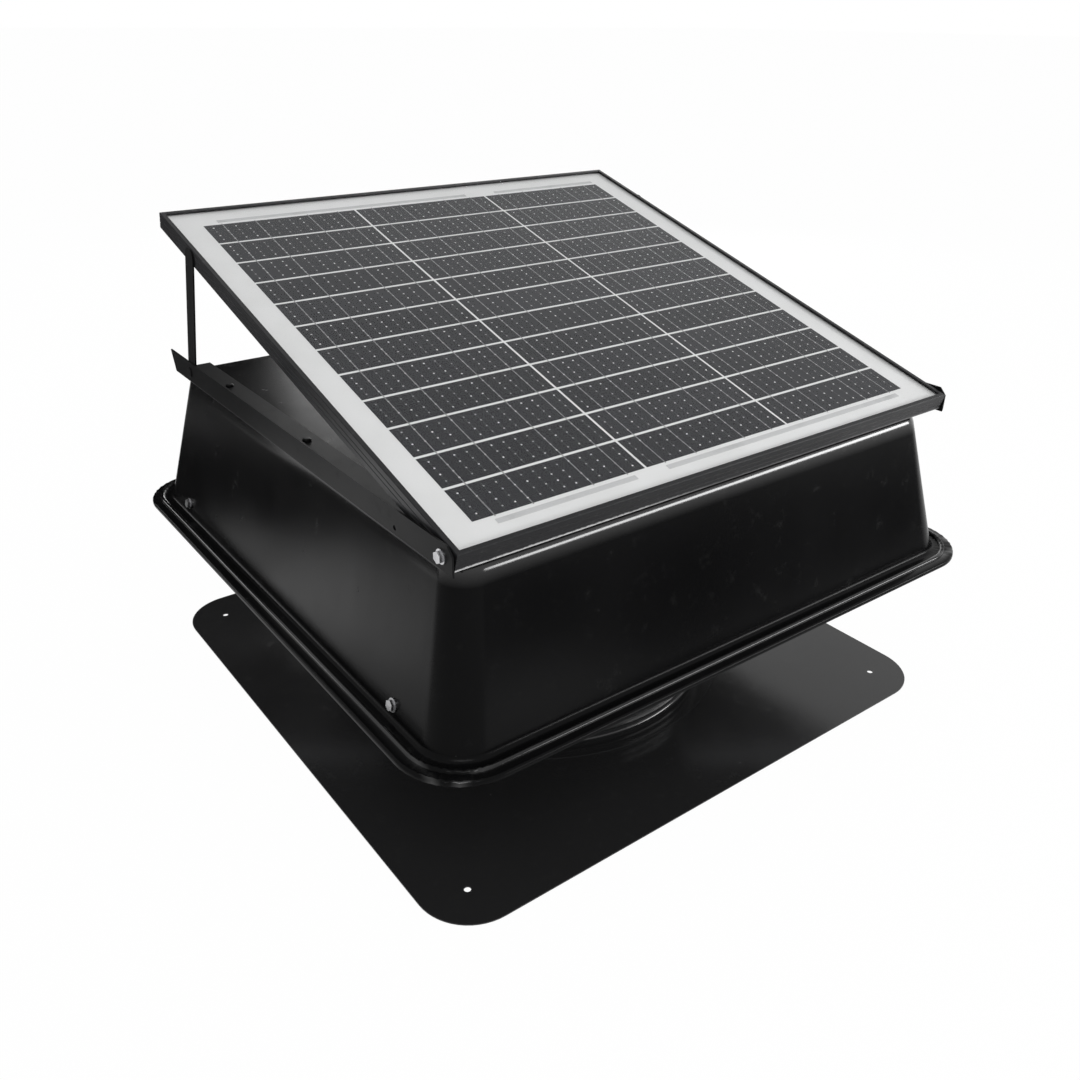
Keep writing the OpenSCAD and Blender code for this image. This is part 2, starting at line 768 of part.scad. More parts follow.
module pivot_washers() {
    thick = rail_in - panel_half - fit;
    color([0.7, 0.7, 0.72])
    both_sides() translate([panel_half + fit, -pivot_y, pivot_z]) along_x()
        difference() {
            cylinder(r = bolt_d / 2 + washer_rim, h = thick, $fn = small_fn);
            translate([0, 0, -eps]) cylinder(r = bolt_d / 2 + fit, h = thick + 2 * eps, $fn = small_fn);
        }
}

module pivot_nuts() {
    color([0.7, 0.7, 0.72])
    both_sides() panel_place() translate([nut_face - nut_h, 0, 0]) along_x()
        rotate(30) difference() {
            cylinder(d = nut_across / cos(30), h = nut_h, $fn = 6);
            translate([0, 0, -eps]) cylinder(r = bolt_d / 2 + fit, h = nut_h + 2 * eps, $fn = small_fn);
        }
}

// Shouldered pins on which the struts fold
module strut_pins() {
    color([0.8, 0.8, 0.82])
    both_sides() translate([strut_in, strut_y, pivot_z]) along_x() {
        cylinder(d = pin_d, h = rail_out - strut_in + eps, $fn = small_fn);
        translate([0, 0, rail_out - strut_in]) rotate_extrude($fn = small_fn)
            polygon(concat([[0, 0], [pin_head_r, 0]],
                           arc([pin_head_r, pin_head_h] - [1, 1] * pin_head_h / 2, pin_head_h / 2, 0, 90, 4),
                           [[0, pin_head_h]]));
    }
}

module strut() {
    translate([strut_in, strut_y, pivot_z]) rotate([strut_lean, 0, 0]) along_x()
    difference() {
        union() {
            cylinder(d = strut_w, h = strut_t, $fn = round_fn);
            translate([-strut_l, 0, 0]) cylinder(d = strut_w, h = strut_t, $fn = round_fn);
            translate([-strut_l, -strut_w / 2, 0]) cube([strut_l, strut_w, strut_t]);
        }
        for (end = [0, -strut_l]) translate([end, 0, -eps])
            cylinder(d = pin_d + 2 * fit, h = strut_t + 2 * eps, $fn = small_fn);
    }
}

module strut_right() {
    color([0.12, 0.12, 0.13]) strut();
}

module strut_left() {
    color([0.12, 0.12, 0.13]) mirror([1, 0, 0]) strut();
}

// Pin that stays in the strut's upper hole and stops short of the frame
module strut_top_pin() {
    translate([strut_in, upper_y, upper_z]) along_x()
        cylinder(d = pin_d, h = strut_t, $fn = small_fn);
}

module strut_top_pin_right() {
    color([0.8, 0.8, 0.82]) strut_top_pin();
}

module strut_top_pin_left() {
    color([0.8, 0.8, 0.82]) mirror([1, 0, 0]) strut_top_pin();
}

// Solar panel

// Section of the frame's extrusion: X inwards from its outer face, Y up from its underside
function frame_section() = [
    [0, 0], [lower_flange_w, 0], [lower_flange_w, frame_t], [frame_t, frame_t],
    [frame_t, ledge_low], [ledge_w, ledge_low], [ledge_w, backing_low], [frame_t, backing_low],
    [frame_t, glass_top], [lip_w, glass_top], [lip_w - 0.4, frame_h], [0.5, frame_h], [0, frame_h - 0.5],
    [0, frame_h * 0.66], [0.5, frame_h * 0.63], [0, frame_h * 0.6],
    [0, frame_h * 0.36], [0.5, frame_h * 0.33], [0, frame_h * 0.3]];

// A length of frame along Y at the left side, mitred at both ends
module frame_length(w, l) {
    intersection() {
        translate([-w / 2, l, 0]) rotate([90, 0, 0]) linear_extrude(l) polygon(frame_section());
        linear_extrude(frame_h) polygon([[-w / 2, 0], [-w / 2, l], [-w / 2 + l / 2, l / 2]]);
    }
}

// Bevel under the frame's rear corners
module rear_bevel() {
    translate([-panel_half - 1, panel_l, 0]) rotate([30, 0, 0])
        translate([0, -9, -8]) cube([panel_w + 2, 20, 8]);
}

module frame_side() {
    difference() {
        frame_length(panel_w, panel_l);
        translate([-panel_half - eps, pivot_in, pivot_h]) along_x()
            cylinder(d = bolt_d + 2 * fit, h = frame_t + 2 * eps, $fn = small_fn);
        translate([-panel_half - eps, pivot_in + strut_top, pivot_h]) along_x()
            cylinder(d = pin_d + 2 * fit, h = frame_t + 2 * eps, $fn = small_fn);
        rear_bevel();
    }
}

module frame_left() {
    color([0.1, 0.1, 0.11]) frame_place() frame_side();
}

module frame_right() {
    color([0.1, 0.1, 0.11]) frame_place() mirror([1, 0, 0]) frame_side();
}

module frame_front() {
    color([0.1, 0.1, 0.11]) frame_place()
        translate([-panel_half, 0, 0]) mirror([0, 1, 0]) rotate(-90) end_length();
}

module frame_rear() {
    color([0.1, 0.1, 0.11]) frame_place() difference() {
        translate([-panel_half, panel_l, 0]) rotate(-90) end_length();
        rear_bevel();
    }
}

// A length of frame for the front or rear, its outer face at X = 0 and running up Y
module end_length() {
    translate([panel_w / 2, 0, 0]) frame_length(panel_w, panel_w);
}

// Angle keys that hold the mitred corners together
module corner_keys() {
    color([0.6, 0.61, 0.63])
    frame_place() both_sides() {
        difference() {
            corner_key();
            translate([-panel_half, pivot_in, pivot_h]) along_x()
                cylinder(d = bolt_d + 2 * fit, h = 3 * key_t, $fn = small_fn);
        }
        translate([0, panel_l, 0]) mirror([0, 1, 0]) corner_key();
    }
}

module corner_key() {
    inner = frame_t + fit;
    translate([-panel_half + inner, inner, frame_t + 0.2]) {
        cube([key_t, key_leg, key_h]);
        cube([key_leg, key_t, key_h]);
    }
}

// Flat layer of the laminate, inside the frame's channel
module laminate(low, thickness) {
    edge = frame_t + glass_play;
    frame_place() translate([-panel_half + edge, edge, low])
        cube([panel_w - 2 * edge, panel_l - 2 * edge, thickness]);
}

module glass_pane() {
    color([0.75, 0.8, 0.82, 0.35]) laminate(glass_low, glass_t);
}

module backing_sheet() {
    color([0.93, 0.93, 0.93]) laminate(backing_low, backing_t);
}

module cell_string(column) {
    color([0.16, 0.17, 0.22])
    frame_place() translate([-cells_w / 2 + column * (cell_w + column_gap), front_margin, cell_low])
        for (row = [0 : rows - 1]) translate([0, row * (cell_l + row_gap), 0])
            cube([cell_w, cell_l, cell_t]);
}

module cell_string_left() {
    cell_string(0);
}

module cell_string_middle() {
    cell_string(floor((columns - 1) / 2));
}

module cell_string_right() {
    cell_string(columns - 1);
}

// Flat ribbons that join the strings in the margins in front and behind
module string_ribbons() {
    step = cell_w + column_gap;
    start = -cells_w / 2;
    front = front_margin - 4 - ribbon_w;
    rear = front_margin + cells_l + 4;
    color([0.6, 0.61, 0.62])
    frame_place() {
        translate([start + 0.1 * step, rear, cell_low]) cube([1.76 * step, ribbon_w, ribbon_t]);
        translate([start + 2.1 * step, rear, cell_low]) cube([0.88 * step, ribbon_w, ribbon_t]);
        translate([start + 0.1 * step, front, cell_low]) cube([0.8 * step, ribbon_w, ribbon_t]);
        translate([start + 1.1 * step, front, cell_low]) cube([1.8 * step, ribbon_w, ribbon_t]);
    }
}

// A rounded box outline for the junction box and its lid
module box_outline(inset) {
    polygon(fillet([[-box_w / 2 + inset, -box_l / 2 + inset], [box_w / 2 - inset, -box_l / 2 + inset],
                    [box_w / 2 - inset, box_l / 2 - inset], [-box_w / 2 + inset, box_l / 2 - inset]],
                   box_corner_r * [1, 1, 1, 1]));
}

module box_place() {
    frame_place() translate([0, box_along, backing_low]) children();
}

module junction_box() {
    depth = box_h - box_lid_t;
    color([0.06, 0.06, 0.06])
    box_place() difference() {
        translate([0, 0, -depth]) linear_extrude(depth) box_outline(0);
        translate([0, 0, -depth - eps]) linear_extrude(depth - box_wall + eps) box_outline(box_wall);
        translate([0, -box_l / 2 - eps, -depth / 2]) rotate([-90, 0, 0])
            cylinder(d = gland_hole_d + 2 * fit, h = box_wall + 2 * eps, $fn = small_fn);
    }
}

module junction_box_lid() {
    color([0.08, 0.08, 0.08])
    box_place() translate([0, 0, -box_h]) difference() {
        linear_extrude(box_lid_t) box_outline(0);
        for (i = [-2 : 2]) translate([i * 9 - 1.2, -box_l / 4, -eps]) cube([2.4, box_l / 2, eps + 0.6]);
    }
}

// Gland for the lead, with a hexagon body and a domed nut
module cable_gland() {
    depth = box_h - box_lid_t;
    color([0.06, 0.06, 0.06])
    box_place() translate([0, -box_l / 2, -depth / 2]) rotate([90, 0, 0])
    difference() {
        union() {
            translate([0, 0, -box_wall - 1.5]) cylinder(d = gland_hole_d, h = box_wall + 3, $fn = small_fn);
            cylinder(d = 9.6 / cos(30), h = 4, $fn = 6);
            translate([0, 0, 4]) rotate_extrude($fn = small_fn)
                polygon([[0, 0], [4.6, 0], [4.6, 4], [3.8, 8], [0, 8]]);
        }
        translate([0, 0, -6]) cylinder(d = lead_bore_d, h = 20, $fn = small_fn);
    }
}

// Impeller

// Rolled blade sheet along +X, crown up, its middle line at z = 0
module blade_sheet() {
    length = fan_r + 4;
    translate([0, 0, -blade_curve]) rotate([0, 90, 0]) difference() {
        cylinder(r = blade_curve + blade_t, h = length, $fn = 180);
        translate([0, 0, -eps]) cylinder(r = blade_curve, h = length + 2 * eps, $fn = 180);
    }
}

// Outline of a blade laid flat, rounded at its tip
function blade_outline() = fillet(
    [[blade_root_r, -root_chord / 2], [fan_r + 2, -tip_chord / 2],
     [fan_r + 2, tip_chord / 2], [blade_root_r, root_chord / 2]], [8, 22, 22, 8]);

module blade_place(i) {
    rotate(i * 360 / blades) translate([0, 0, spider_z]) rotate([pitch, 0, 0]) children();
}

module rivet_places() {
    for (r = rivet_at) translate([r, 0, 0]) children();
}

module fan_blade(i) {
    color([0.32, 0.33, 0.35])
    intersection() {
        blade_place(i) difference() {
            intersection() {
                translate([0, 0, spider_t / 2 + blade_crown]) blade_sheet();
                translate([0, 0, -blade_room]) linear_extrude(2 * blade_room) polygon(blade_outline());
            }
            rivet_places() translate([0, 0, -eps])
                cylinder(d = rivet_d + 2 * fit, h = 6, $fn = small_fn);
        }
        translate([0, 0, fan_z - blade_room]) cylinder(r = fan_r, h = 2 * blade_room, $fn = round_fn);
    }
}

module fan_blade_1() {
    fan_blade(0);
}

module fan_blade_2() {
    fan_blade(1);
}

module fan_blade_3() {
    fan_blade(2);
}

module fan_blade_4() {
    fan_blade(3);
}

module fan_blade_5() {
    fan_blade(4);
}

// Five-armed spider that carries the blades
module blade_spider() {
    color([0.45, 0.46, 0.48])
    difference() {
        union() {
            translate([0, 0, spider_z - spider_t / 2]) cylinder(r = spider_r, h = spider_t, $fn = round_fn);
            for (i = [0 : blades - 1]) blade_place(i) {
                translate([hub_r + 6, -spider_arm_w / 2, -spider_t / 2])
                    cube([spider_arm_end - spider_arm_w / 2 - hub_r - 6, spider_arm_w, spider_t]);
                translate([spider_arm_end - spider_arm_w / 2, 0, -spider_t / 2])
                    cylinder(d = spider_arm_w, h = spider_t, $fn = small_fn);
            }
        }
        translate([0, 0, spider_z - 30]) cylinder(r = hub_r - 4 + fit, h = 60, $fn = small_fn);
        for (i = [0 : blades - 1]) blade_place(i) rivet_places() translate([0, 0, -spider_t])
            cylinder(d = rivet_d + 2 * fit, h = 2 * spider_t, $fn = small_fn);
    }
}

module blade_rivets() {
    grip = spider_t + blade_crown + blade_t;
    color([0.7, 0.7, 0.72])
    for (i = [0 : blades - 1]) blade_place(i) rivet_places() translate([0, 0, -spider_t / 2]) {
        translate([0, 0, -eps]) cylinder(d = rivet_d, h = grip + 2 * eps, $fn = small_fn);
        translate([0, 0, grip]) cylinder(r = rivet_d * 0.85, h = 1.5, $fn = small_fn);
        translate([0, 0, -1.5]) cylinder(r = rivet_d * 0.85, h = 1.5, $fn = small_fn);
    }
}

// Turned hub: its shoulder and collar hold the spider's plate
module fan_hub() {
    low = spider_z - spider_t / 2;
    high = spider_z + spider_t / 2;
    color([0.6, 0.61, 0.63])
    difference() {
        rotate_extrude($fn = round_fn)
            polygon([[shaft_r + fit, hub_z], [hub_r - 6, hub_z], [hub_r - 4, hub_z + 2],
                     [hub_r - 4, low - 3], [hub_r + 3, low - 3], [hub_r + 3, low], [hub_r - 4, low],
                     [hub_r - 4, high], [hub_r, high], [hub_r, high + 3], [hub_r - 5, high + 4],
                     [hub_r - 5, hub_z + hub_h], [shaft_r + fit, hub_z + hub_h]]);
        translate([0, 0, hub_z + 5.5]) along_x() cylinder(d = 5 + 2 * fit, h = hub_r + 5, $fn = small_fn);
    }
}

module hub_screw() {
    color([0.3, 0.3, 0.31])
    translate([shaft_r + fit, 0, hub_z + 5.5]) along_x() difference() {
        cylinder(d = 5, h = 9, $fn = small_fn);
        translate([0, 0, 6]) cylinder(d = 2.9, h = 5, $fn = 6);
    }
}

module motor_shaft() {
    low = hub_z - 6;
    high = motor_top + cap_h - 3.6;
    color([0.8, 0.81, 0.83])
    translate([0, 0, low]) rotate_extrude($fn = small_fn)
        polygon([[0, 0], [shaft_r - 0.8, 0], [shaft_r, 0.8], [shaft_r, high - low], [0, high - low]]);
}

module rotor_magnet() {
    color([0.25, 0.25, 0.27])
    translate([0, 0, stator_z - 1]) difference() {
        cylinder(d = rotor_d, h = stator_h + 2, $fn = round_fn);
        translate([0, 0, -eps]) cylinder(r = shaft_r + fit, h = stator_h + 4, $fn = small_fn);
    }
}

flashing_plate();
throat_collar();
guard_screen();
motor_bracket();
bracket_screws();
motor_housing();
motor_end_cap();
motor_screws();
stator_core();
bearing_lower();
bearing_upper();
hood_shell();
hood_arm_front_left();
hood_arm_front_right();
hood_arm_rear_left();
hood_arm_rear_right();
arm_screws();
hood_screws();
rail_left();
rail_right();
rail_screws();
cable_grommet();
pivot_bolts();
pivot_washers();
pivot_nuts();
strut_pins();
frame_front();
frame_rear();
frame_left();
frame_right();
corner_keys();
glass_pane();
cell_string_left();
cell_string_middle();
cell_string_right();
string_ribbons();
backing_sheet();
junction_box();
junction_box_lid();
cable_gland();
strut_left();
strut_right();
strut_top_pin_left();
strut_top_pin_right();
fan_blade_1();
fan_blade_2();
fan_blade_3();
fan_blade_4();
fan_blade_5();
blade_spider();
blade_rivets();
fan_hub();
hub_screw();
motor_shaft();
rotor_magnet();
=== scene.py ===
import json
import math
import random

import bmesh
import bpy
from mathutils import Matrix, Vector, noise


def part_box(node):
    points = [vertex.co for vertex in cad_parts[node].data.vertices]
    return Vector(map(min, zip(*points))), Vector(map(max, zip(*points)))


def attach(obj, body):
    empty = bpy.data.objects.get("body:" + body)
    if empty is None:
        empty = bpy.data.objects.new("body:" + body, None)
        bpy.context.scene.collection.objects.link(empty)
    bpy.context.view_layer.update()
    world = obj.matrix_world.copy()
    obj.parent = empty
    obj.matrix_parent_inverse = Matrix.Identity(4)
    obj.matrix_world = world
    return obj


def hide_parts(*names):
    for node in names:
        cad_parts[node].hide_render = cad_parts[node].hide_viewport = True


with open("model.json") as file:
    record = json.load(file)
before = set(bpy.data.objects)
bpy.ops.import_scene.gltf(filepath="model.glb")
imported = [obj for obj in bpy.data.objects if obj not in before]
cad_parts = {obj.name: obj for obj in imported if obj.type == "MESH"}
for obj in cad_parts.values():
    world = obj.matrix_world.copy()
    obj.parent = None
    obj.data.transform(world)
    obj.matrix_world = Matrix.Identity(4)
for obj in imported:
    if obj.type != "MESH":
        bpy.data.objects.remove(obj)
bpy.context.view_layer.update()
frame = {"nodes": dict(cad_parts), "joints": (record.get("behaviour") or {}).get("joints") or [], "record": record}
nodes = frame["nodes"]
mm = 0.001
print("frame loaded:", len(nodes), "nodes")


# shader sums

class Wire:
    # a socket that takes part in sums: each operator adds one Math node
    def __init__(self, finish, socket):
        self.finish = finish
        self.socket = socket

    def sum(self, operation, *terms):
        sockets = {place: term for place, term in enumerate(terms)}
        return self.finish.node("Math", {"operation": operation}, sockets)

    def __add__(self, other):
        return self.sum("ADD", self, other)

    def __sub__(self, other):
        return self.sum("SUBTRACT", self, other)

    def __rsub__(self, other):
        return self.sum("SUBTRACT", other, self)

    def __mul__(self, other):
        return self.sum("MULTIPLY", self, other)

    def __pow__(self, other):
        return self.sum("POWER", self, other)

    __radd__ = __add__
    __rmul__ = __mul__


class Finish:
    # one material, or the node tree handed in, built up from nodes
    def __init__(self, name, tree=None):
        if tree is None:
            self.material = bpy.data.materials.new(name)
            self.material.use_nodes = True
            tree = self.material.node_tree
        self.tree = tree
        self.tree.nodes.clear()

    def node(self, kind, settings=None, sockets=None, out=0):
        made = self.tree.nodes.new("ShaderNode" + kind)
        for key, value in (settings or {}).items():
            setattr(made, key, value)
        for key, value in (sockets or {}).items():
            if isinstance(value, Wire):
                self.tree.links.new(value.socket, made.inputs[key])
            else:
                made.inputs[key].default_value = value
        return Wire(self, made.outputs[out]) if made.outputs else None

    def place(self, scale=(1, 1, 1), turn=0):
        # the object's own coordinates, turned about X and stretched
        where = self.node("TexCoord", out="Object")
        sockets = {"Vector": where, "Rotation": (turn, 0, 0), "Scale": scale}
        return self.node("Mapping", None, sockets)

    def clouds(self, where, scale, detail=3, roughness=0.5):
        sockets = {"Vector": where, "Scale": scale, "Detail": detail, "Roughness": roughness}
        return self.node("TexNoise", None, sockets)

    def fade(self, value, low, high, fromLow=0, fromHigh=1):
        # a smooth step: the value's span fromLow to fromHigh becomes low to high
        sockets = {"Value": value, "From Min": fromLow, "From Max": fromHigh,
                   "To Min": low, "To Max": high}
        return self.node("MapRange", {"interpolation_type": "SMOOTHSTEP"}, sockets)

    def blend(self, share, first, second):
        return self.node("Mix", {"data_type": "RGBA"}, {0: share, 6: first, 7: second}, out=2)

    def bump(self, height, distance, under=None):
        sockets = {"Height": height, "Distance": distance, "Strength": 1}
        if under:
            sockets["Normal"] = under
        return self.node("Bump", None, sockets)

    def surface(self, **sockets):
        named = {key.replace("_", " "): value for key, value in sockets.items()}
        shader = self.node("BsdfPrincipled", None, named)
        self.node("OutputMaterial", None, {"Surface": shader})
        return self.material


def rgb(r, g=None, b=None):
    return (r, r if g is None else g, r if b is None else b, 1)


coat = {
    "colour": (0.0028, 0.0028, 0.003), "gloss": 0.058,
    "roughness": 0.22, "patch": 0.16, "patchScale": 9,
    "peelScale": 850, "peelDepth": 0.00003,
    "waveScale": 9, "waveStretch": (1, 1, 0.35), "waveDepth": 0.0006,
    "dust": 0.03, "dustScale": 60, "dustSpan": (0.55, 0.8), "dustColour": (0.16, 0.16, 0.155),
    "dustRoughness": 0.12,
    "chips": 0.5, "chipColour": 0.55, "speckScale": 75, "speckCore": 0.03, "speckSize": 0.055,
    "wornScale": 14, "wornSpan": (0.6, 0.75),
    "edgeFilm": 1.0, "edgeRoughness": 0.12,
}


def powderCoat(name, look):
    # black powder coat: orange peel, slow waves left by the press, dust and small chips
    f = Finish(name)
    where = f.place()
    peel = f.clouds(where, look["peelScale"], 2)
    slow = f.clouds(f.place(look["waveStretch"]), look["waveScale"], 3)
    dust = f.fade(f.clouds(where, look["dustScale"], 6, 0.7), 0, 1, *look["dustSpan"])
    specks = f.node("TexVoronoi", None,
                    {"Vector": where, "Scale": look["speckScale"], "Randomness": 1})
    chips = f.fade(specks, 1, 0, look["speckCore"], look["speckSize"])
    worn = f.clouds(where, look["wornScale"], 4)
    chips = chips * f.fade(worn, 0, 1, *look["wornSpan"])
    colour = f.blend(dust * look["dust"], rgb(*look["colour"]), rgb(*look["dustColour"]))
    colour = f.blend(chips * look["chips"], colour, rgb(look["chipColour"]))
    patches = f.clouds(where, look["patchScale"], 3)
    rough = look["roughness"] + (patches - 0.5) * look["patch"] + dust * look["dustRoughness"]
    normal = f.bump(slow, look["waveDepth"])
    normal = f.bump(peel, look["peelDepth"], under=normal)
    # the film is thicker and glossier where the mesh says "rounded"
    rounded = f.node("Attribute", {"attribute_name": "rounded"}, out="Fac") * look["edgeFilm"]
    return f.surface(Base_Color=colour, Roughness=rough, Normal=normal,
                     Specular_IOR_Level=look["gloss"], Coat_Weight=rounded,
                     Coat_Roughness=look["edgeRoughness"])


materials = {}
materials["painted_sheet"] = powderCoat("blackPowderCoat", coat)
plateFinish = powderCoat("plateCoat", dict(
    coat, colour=(0.016, 0.016, 0.0164), gloss=0.38, roughness=0.17, waveDepth=0.0003))
materials["painted_rail"] = powderCoat("satinRailCoat", dict(
    coat, colour=(0.006, 0.006, 0.0063), gloss=0.06, roughness=0.42,
    waveScale=22, waveStretch=(0.4, 0.4, 1), waveDepth=0.0003))
materials["motor_case"] = powderCoat("motorCoat", dict(
    coat, colour=(0.02, 0.02, 0.022), roughness=0.5, chips=0))
materials["screen_metal"] = powderCoat("screenCoat", dict(
    coat, colour=(0.05, 0.05, 0.052), roughness=0.5, chips=0))


steel = {
    "colour": (0.55, 0.56, 0.58), "roughness": 0.32, "metallic": 1.0,
    "stretch": (1, 1, 1), "grainScale": 320, "grainDepth": 0.00003, "grainRoughness": 0.25,
    "stain": 0.4, "stainScale": 35, "stainSpan": (0.5, 0.75), "stainShade": 0.55,
    "stainRoughness": 0.1,
}


def bareMetal(name, look):
    # brushed or rolled bare metal, with the grain along the axis where stretch is small
    f = Finish(name)
    grain = f.clouds(f.place(look["stretch"]), look["grainScale"], 4, 0.65)
    stain = f.fade(f.clouds(f.place(), look["stainScale"], 4), 0, 1, *look["stainSpan"])
    stained = [c * look["stainShade"] for c in look["colour"]]
    colour = f.blend(stain * look["stain"], rgb(*look["colour"]), rgb(*stained))
    rough = (look["roughness"] + (grain - 0.5) * look["grainRoughness"]
             + stain * look["stainRoughness"])
    normal = f.bump(grain, look["grainDepth"])
    return f.surface(Base_Color=colour, Roughness=rough, Normal=normal,
                     Metallic=look["metallic"])


materials["zinc_steel"] = bareMetal("zincPlate", dict(steel, grainScale=120))
materials["fastener"] = bareMetal("plainStainless", dict(
    steel, colour=(0.42, 0.42, 0.43), roughness=0.28))
materials["bearing_steel"] = bareMetal("groundSteel", dict(steel, roughness=0.18))
materials["core_steel"] = bareMetal("oiledSteel", dict(
    steel, colour=(0.2, 0.2, 0.21), roughness=0.45))
materials["bare_aluminium"] = bareMetal("cutAluminium", dict(steel, colour=(0.66, 0.67, 0.69)))
materials["blade_aluminium"] = bareMetal("rolledAluminium", dict(
    steel, colour=(0.5, 0.51, 0.53), stretch=(1, 12, 12), grainScale=26))
materials["tinned_ribbon"] = bareMetal("tinnedRibbon", dict(
    steel, colour=(0.5, 0.505, 0.51), roughness=0.5, stretch=(0.2, 6, 1), grainScale=160,
    metallic=0))


moulding = {
    "colour": (0.016, 0.016, 0.016), "second": (0.035, 0.035, 0.034), "gloss": 0.5,
    "patch": 0.6, "patchScale": 25, "patchSpan": (0.35, 0.7),
    "roughness": 0.48, "sparkScale": 700, "sparkDepth": 0.00006, "sparkRoughness": 0.12,
}


def plainMoulding(name, look):
    # moulded plastic or rubber with a fine spark texture
    f = Finish(name)
    spark = f.clouds(f.place(), look["sparkScale"], 3, 0.6)
    patches = f.clouds(f.place(), look["patchScale"], 3)
    share = f.fade(patches, 0, look["patch"], *look["patchSpan"])
    colour = f.blend(share, rgb(*look["colour"]), rgb(*look["second"]))
    rough = look["roughness"] + (spark - 0.5) * look["sparkRoughness"]
    return f.surface(Base_Color=colour, Roughness=rough,
                     Normal=f.bump(spark, look["sparkDepth"]), Specular_IOR_Level=look["gloss"])


materials["black_plastic"] = plainMoulding("sparkedPlastic", moulding)
materials["grommet_rubber"] = plainMoulding("grommetRubber", dict(
    moulding, roughness=0.7, sparkScale=400))
materials["white_backing"] = plainMoulding("whiteBacking", dict(
    moulding, colour=(0.74, 0.745, 0.745), second=(0.69, 0.695, 0.69), roughness=0.5,
    sparkScale=500, gloss=0.3))


# the panel's place: its pivot, its slope and the layers over its underside

pivotJoint = next(j for j in frame["joints"] if j["name"] == "panel_tilt")
panel = {
    "slope": -pivotJoint["range_deg"][0], "pivotIn": 12.5 * mm, "pivotUp": 5.55 * mm,
    "cellLow": 11.55 * mm, "cellTop": 11.8 * mm,
}
slope = math.radians(panel["slope"])
panelAt = (Matrix.Translation(pivotJoint["pos_m"]) @ Matrix.Rotation(slope, 4, "X")
           @ Matrix.Translation((0, -panel["pivotIn"], -panel["pivotUp"])))

extrusion = {
    "colour": (0.016, 0.016, 0.0172), "gloss": 0.12, "metallic": 0.15, "roughness": 0.36,
    "lineScale": 900, "lineDepth": 0.00003, "lineRoughness": 0.2, "stretch": 0.02,
    "broadScale": 18, "broadRoughness": 0.2,
    "dust": 0.3, "dustScale": 160, "dustSpan": (0.52, 0.78), "dustColour": (0.1, 0.1, 0.098),
}
# the front piece's lower edge: light where rubbed bare at the left, plus a painted highlight, a faint light line
# along the rest
rubbedEdgeAndHighlight = {
    "low": 0.5 * mm, "high": 2.2 * mm, "ragged": 4 * mm, "ragScale": 260,
    "from": -0.02, "to": -0.17, "paintedHighlightLeast": 0.15, "share": 0.75, "colour": 0.7,
}


def frameFinish(name, alongX):
    # black anodised extrusion: die lines along its length, rubbed edges with a painted highlight, a little dust
    f = Finish(name)
    look, rubAndHighlight = extrusion, rubbedEdgeAndHighlight
    stretch = (look["stretch"], 1, 1) if alongX else (1, look["stretch"], 1)
    lines = f.clouds(f.place(stretch, -slope), look["lineScale"], 3, 0.7)
    broad = f.clouds(f.place(), look["broadScale"], 4)
    dust = f.fade(f.clouds(f.place(), look["dustScale"], 6, 0.75), 0, 1, *look["dustSpan"])
    colour = f.blend(dust * look["dust"], rgb(*look["colour"]), rgb(*look["dustColour"]))
    if alongX:  # the lower edge of the front piece is rubbed bare in spots at the left, and a faint painted highlight runs all along it
        height = f.node("SeparateXYZ", None, {"Vector": f.place(turn=-slope)}, out="Z")
        across = f.node("SeparateXYZ", None, {"Vector": f.place()}, out="X")
        rag = f.clouds(f.place(), rubAndHighlight["ragScale"], 5, 0.8)
        at = panelAt.translation
        foot = (at.z * math.cos(slope) - at.y * math.sin(slope))
        rubAndHighlightMask = f.fade(height + (rag - 0.5) * rubAndHighlight["ragged"], 1, 0,
                      foot + rubAndHighlight["low"], foot + rubAndHighlight["high"])
        rubAndHighlightMask = rubAndHighlightMask * f.fade(across, rubAndHighlight["paintedHighlightLeast"], 1, rubAndHighlight["from"], rubAndHighlight["to"])
        colour = f.blend(rubAndHighlightMask * rubAndHighlight["share"], colour, rgb(rubAndHighlight["colour"]))
    rough = (look["roughness"] + (lines - 0.5) * look["lineRoughness"]
             + (broad - 0.5) * look["broadRoughness"])
    normal = f.bump(lines, look["lineDepth"])
    return f.surface(Base_Color=colour, Roughness=rough, Normal=normal,
                     Metallic=look["metallic"], Specular_IOR_Level=look["gloss"])


materials["panel_frame"] = frameFinish("anodisedAlongY", False)
frameAcross = frameFinish("anodisedAlongX", True)

# CAD nodes take the finish of their slot, apart from a few with their own
ownFinish = {"frame_front": frameAcross, "frame_rear": frameAcross,
             "flashing_plate": plateFinish, "throat_collar": plateFinish}
slotOf = {part["node"]: part["material_slot"] for part in frame["record"]["subparts"]}
for name, piece in nodes.items():
    made = materials.get(slotOf[name])
    if made:
        piece.data.materials.clear()
        piece.data.materials.append(ownFinish.get(name, made))
print("materials set")


meshing = {"creaseAngle": 35, "weldGap": 0.01 * mm}


def makePiece(name, vertices, faces, surfaces, body, faceSurface=None, weld=True):
    mesh = bpy.data.meshes.new(name)
    mesh.from_pydata([tuple(v) for v in vertices], [], faces)
    for surface in surfaces:
        mesh.materials.append(surface)
    if faceSurface:
        mesh.polygons.foreach_set("material_index", faceSurface)
    bm = bmesh.new()
    bm.from_mesh(mesh)
    if weld:
        bmesh.ops.remove_doubles(bm, verts=bm.verts, dist=meshing["weldGap"])
    bmesh.ops.recalc_face_normals(bm, faces=bm.faces)
    bm.to_mesh(mesh)
    bm.free()
    mesh.polygons.foreach_set("use_smooth", [True] * len(mesh.polygons))
    mesh.set_sharp_from_angle(angle=math.radians(meshing["creaseAngle"]))
    made = bpy.data.objects.new(name, mesh)
    bpy.context.scene.collection.objects.link(made)
    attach(made, body)
    return made


